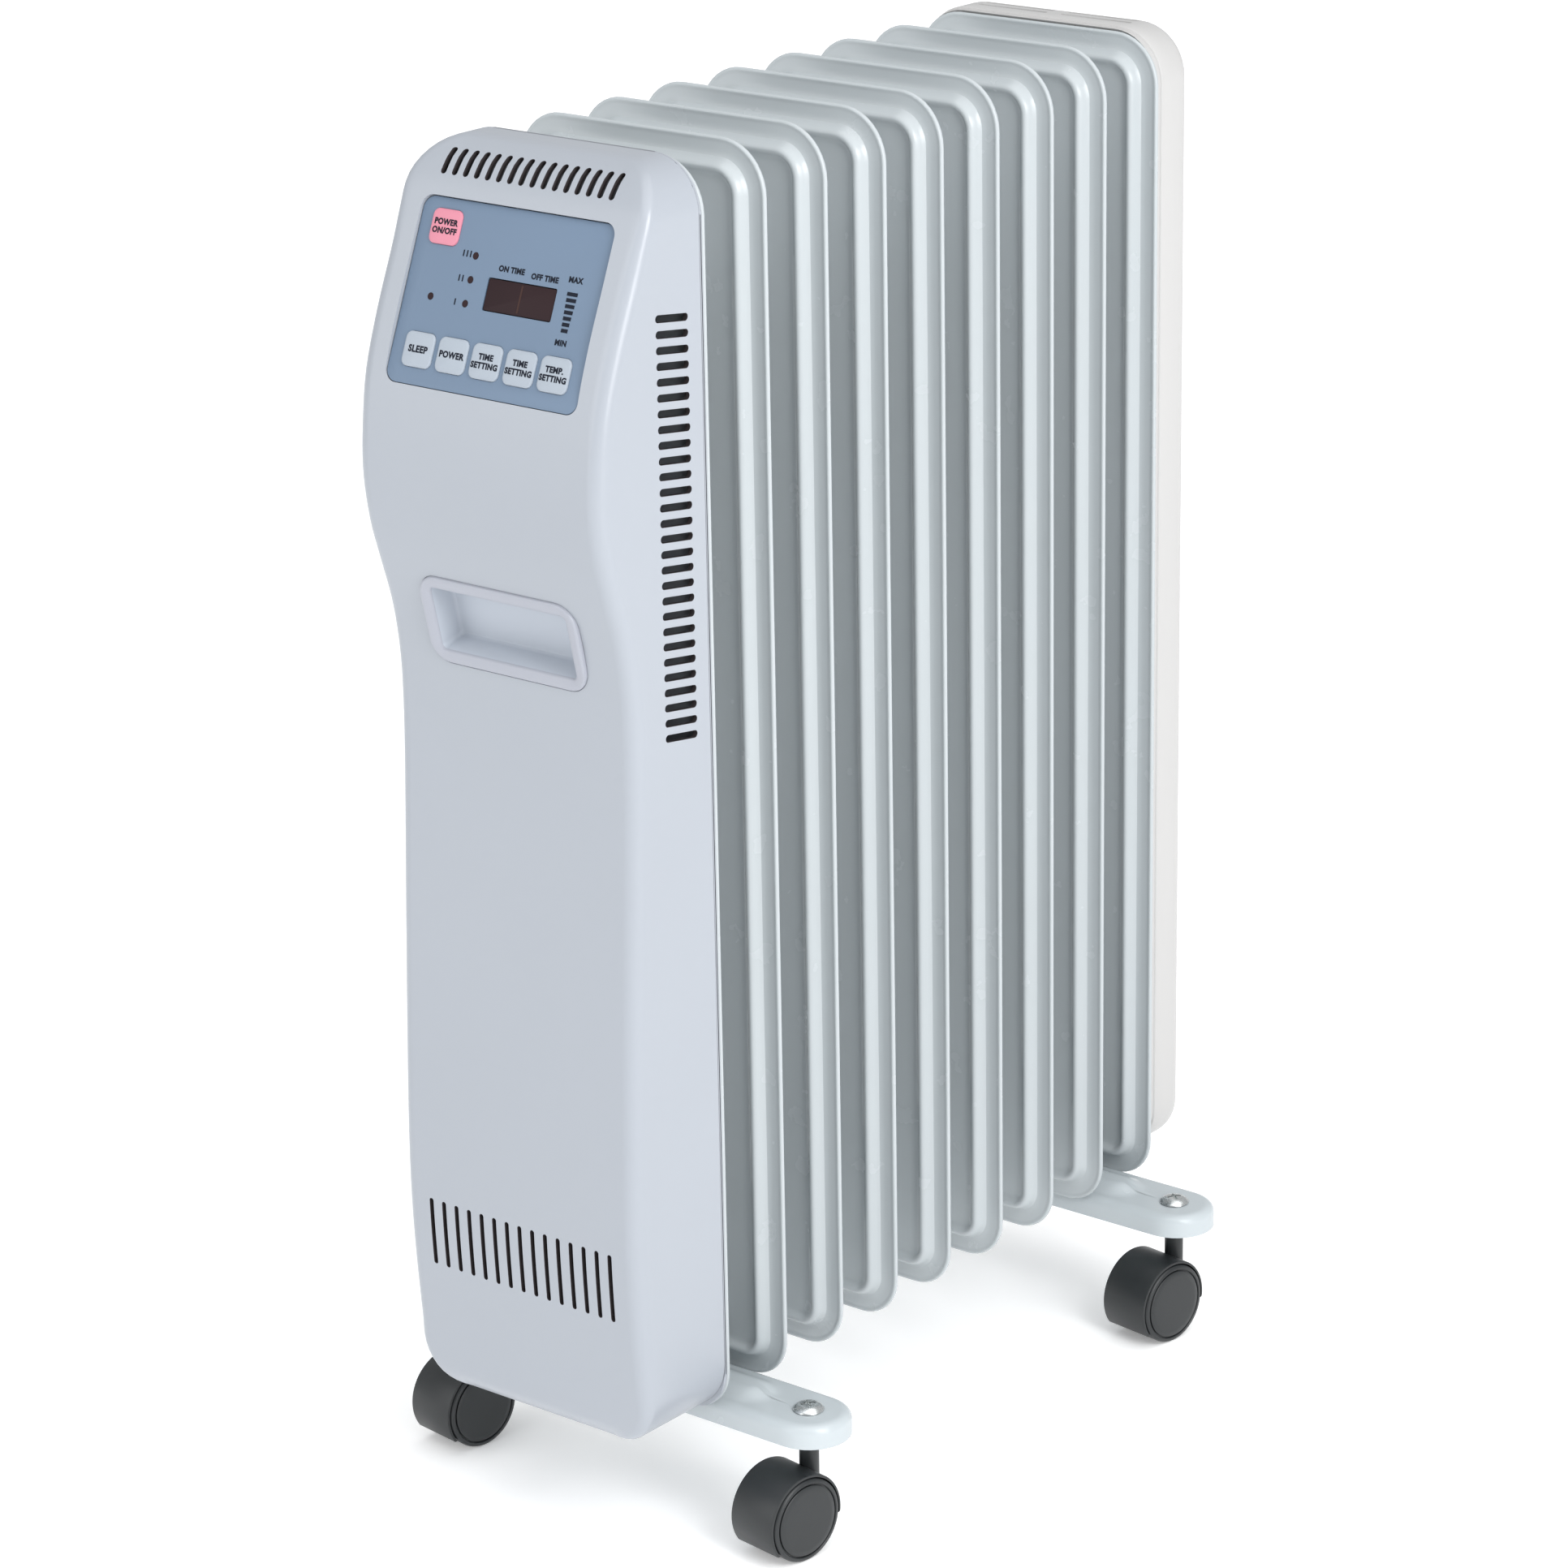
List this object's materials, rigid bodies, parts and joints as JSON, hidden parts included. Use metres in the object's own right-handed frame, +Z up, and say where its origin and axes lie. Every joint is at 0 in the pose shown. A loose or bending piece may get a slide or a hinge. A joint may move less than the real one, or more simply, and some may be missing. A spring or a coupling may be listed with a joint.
{
  "type": "oil filled radiator heater",
  "caption": "Portable oil filled column radiator: pressed steel fins, an S-shaped control housing with touch panel and grip recess, an end cover, and foot bars on swivelling twin-wheel casters.",
  "frame": {"origin": "middle of the footprint on the floor", "axes": "+X to the right seen from the control panel's side, +Y from the control housing towards the rear cover, +Z up"},
  "size_m": [0.237, 0.4354, 0.645],
  "materials": {
    "fin_paint": "smooth cream white powder coat",
    "housing_plastic": "satin moulded plastic, cool white",
    "rear_cover_plastic": "satin moulded plastic, warm white",
    "panel_film": "satin blue-grey printed film",
    "key_pale": "satin pale blue-grey",
    "key_pink": "satin pink",
    "display_window": "polished dark smoked plastic",
    "circuit_board": "green laminate",
    "black_plastic": "satin black moulded plastic",
    "grip_plastic": "satin moulded plastic, cool white",
    "zinc_plated_steel": "bright zinc plate",
    "heater_tube": "dull steel tube",
    "brass": "turned brass"
  },
  "bodies": {
    "heater": {"control_board": "circuit_board", "control_panel": "panel_film", "cord_gland": "black_plastic", "display_window": "display_window", "fin_1": "fin_paint", "fin_2": "fin_paint", "fin_3": "fin_paint", "fin_4": "fin_paint", "fin_5": "fin_paint", "fin_6": "fin_paint", "fin_7": "fin_paint", "fin_8": "fin_paint", "fin_9": "fin_paint", "foot_bar_front": "fin_paint", "foot_bar_rear": "fin_paint", "grip_cup": "grip_plastic", "heating_element": "heater_tube", "housing_back_tray": "housing_plastic", "housing_front_cover": "housing_plastic", "indicator_light_guide": "black_plastic", "level_light_guide": "black_plastic", "oil_fill_plug": "brass", "overheat_cutout": "zinc_plated_steel", "rear_cover": "rear_cover_plastic", "rear_cover_screw_high": "zinc_plated_steel", "rear_cover_screw_low": "zinc_plated_steel", "terminal_block": "key_pale", "u_bolt_front": "zinc_plated_steel", "u_bolt_rear": "zinc_plated_steel", "wing_nut_front_left": "zinc_plated_steel", "caster_screw_front_left": "zinc_plated_steel", "wing_nut_front_right": "zinc_plated_steel", "caster_screw_front_right": "zinc_plated_steel", "wing_nut_rear_left": "zinc_plated_steel", "caster_screw_rear_left": "zinc_plated_steel", "wing_nut_rear_right": "zinc_plated_steel", "caster_screw_rear_right": "zinc_plated_steel"},
    "caster_front_left": {"caster_hood_front_left": "black_plastic", "caster_axle_front_left": "zinc_plated_steel"},
    "wheel_front_left_outer": {"wheel_front_left_outer": "black_plastic"},
    "wheel_front_left_inner": {"wheel_front_left_inner": "black_plastic"},
    "caster_front_right": {"caster_hood_front_right": "black_plastic", "caster_axle_front_right": "zinc_plated_steel"},
    "wheel_front_right_outer": {"wheel_front_right_outer": "black_plastic"},
    "wheel_front_right_inner": {"wheel_front_right_inner": "black_plastic"},
    "caster_rear_left": {"caster_hood_rear_left": "black_plastic", "caster_axle_rear_left": "zinc_plated_steel"},
    "wheel_rear_left_outer": {"wheel_rear_left_outer": "black_plastic"},
    "wheel_rear_left_inner": {"wheel_rear_left_inner": "black_plastic"},
    "caster_rear_right": {"caster_hood_rear_right": "black_plastic", "caster_axle_rear_right": "zinc_plated_steel"},
    "wheel_rear_right_outer": {"wheel_rear_right_outer": "black_plastic"},
    "wheel_rear_right_inner": {"wheel_rear_right_inner": "black_plastic"},
    "power_key": {"power_key": "key_pink"},
    "sleep_key": {"sleep_key": "key_pale"},
    "power_level_key": {"power_level_key": "key_pale"},
    "on_time_key": {"on_time_key": "key_pale"},
    "off_time_key": {"off_time_key": "key_pale"},
    "temperature_key": {"temperature_key": "key_pale"},
    "tip_over_pendulum": {"tip_over_pendulum": "brass"}
  },
  "joints": [
    {"name": "caster_front_left_swivel", "type": "hinge", "parent": "heater", "child": "caster_front_left", "pos_m": [-0.0985, -0.12465, 0.045], "axis": [0, 0, 1], "continuous": true},
    {"name": "wheel_front_left_outer_spin", "type": "hinge", "parent": "caster_front_left", "child": "wheel_front_left_outer", "pos_m": [-0.10059, -0.1395, 0.02], "axis": [0.9903, -0.1392, 0], "continuous": true},
    {"name": "wheel_front_left_inner_spin", "type": "hinge", "parent": "caster_front_left", "child": "wheel_front_left_inner", "pos_m": [-0.10059, -0.1395, 0.02], "axis": [0.9903, -0.1392, 0], "continuous": true},
    {"name": "caster_front_right_swivel", "type": "hinge", "parent": "heater", "child": "caster_front_right", "pos_m": [0.0985, -0.12465, 0.045], "axis": [0, 0, 1], "continuous": true},
    {"name": "wheel_front_right_outer_spin", "type": "hinge", "parent": "caster_front_right", "child": "wheel_front_right_outer", "pos_m": [0.09641, -0.1395, 0.02], "axis": [0.9903, -0.1392, 0], "continuous": true},
    {"name": "wheel_front_right_inner_spin", "type": "hinge", "parent": "caster_front_right", "child": "wheel_front_right_inner", "pos_m": [0.09641, -0.1395, 0.02], "axis": [0.9903, -0.1392, 0], "continuous": true},
    {"name": "caster_rear_left_swivel", "type": "hinge", "parent": "heater", "child": "caster_rear_left", "pos_m": [-0.0985, 0.16795, 0.045], "axis": [0, 0, 1], "continuous": true},
    {"name": "wheel_rear_left_outer_spin", "type": "hinge", "parent": "caster_rear_left", "child": "wheel_rear_left_outer", "pos_m": [-0.10059, 0.1531, 0.02], "axis": [0.9903, -0.1392, 0], "continuous": true},
    {"name": "wheel_rear_left_inner_spin", "type": "hinge", "parent": "caster_rear_left", "child": "wheel_rear_left_inner", "pos_m": [-0.10059, 0.1531, 0.02], "axis": [0.9903, -0.1392, 0], "continuous": true},
    {"name": "caster_rear_right_swivel", "type": "hinge", "parent": "heater", "child": "caster_rear_right", "pos_m": [0.0985, 0.16795, 0.045], "axis": [0, 0, 1], "continuous": true},
    {"name": "wheel_rear_right_outer_spin", "type": "hinge", "parent": "caster_rear_right", "child": "wheel_rear_right_outer", "pos_m": [0.09641, 0.1531, 0.02], "axis": [0.9903, -0.1392, 0], "continuous": true},
    {"name": "wheel_rear_right_inner_spin", "type": "hinge", "parent": "caster_rear_right", "child": "wheel_rear_right_inner", "pos_m": [0.09641, 0.1531, 0.02], "axis": [0.9903, -0.1392, 0], "continuous": true},
    {"name": "power_key_press", "type": "slide", "parent": "heater", "child": "power_key", "axis": [0, -0.925, 0.3799], "range_m": [-0.0008, 0], "stiffness_N_per_m": 500, "springref_m": 0.0004},
    {"name": "sleep_key_press", "type": "slide", "parent": "heater", "child": "sleep_key", "axis": [0, -0.925, 0.3799], "range_m": [-0.0008, 0], "stiffness_N_per_m": 500, "springref_m": 0.0004},
    {"name": "power_level_key_press", "type": "slide", "parent": "heater", "child": "power_level_key", "axis": [0, -0.925, 0.3799], "range_m": [-0.0008, 0], "stiffness_N_per_m": 500, "springref_m": 0.0004},
    {"name": "on_time_key_press", "type": "slide", "parent": "heater", "child": "on_time_key", "axis": [0, -0.925, 0.3799], "range_m": [-0.0008, 0], "stiffness_N_per_m": 500, "springref_m": 0.0004},
    {"name": "off_time_key_press", "type": "slide", "parent": "heater", "child": "off_time_key", "axis": [0, -0.925, 0.3799], "range_m": [-0.0008, 0], "stiffness_N_per_m": 500, "springref_m": 0.0004},
    {"name": "temperature_key_press", "type": "slide", "parent": "heater", "child": "temperature_key", "axis": [0, -0.925, 0.3799], "range_m": [-0.0008, 0], "stiffness_N_per_m": 500, "springref_m": 0.0004},
    {"name": "tip_over_pendulum_swing", "type": "hinge", "parent": "heater", "child": "tip_over_pendulum", "pos_m": [-0.0305, -0.17475, 0.138], "axis": [1, 0, 0], "range_deg": [-20, 20]}
  ]
}
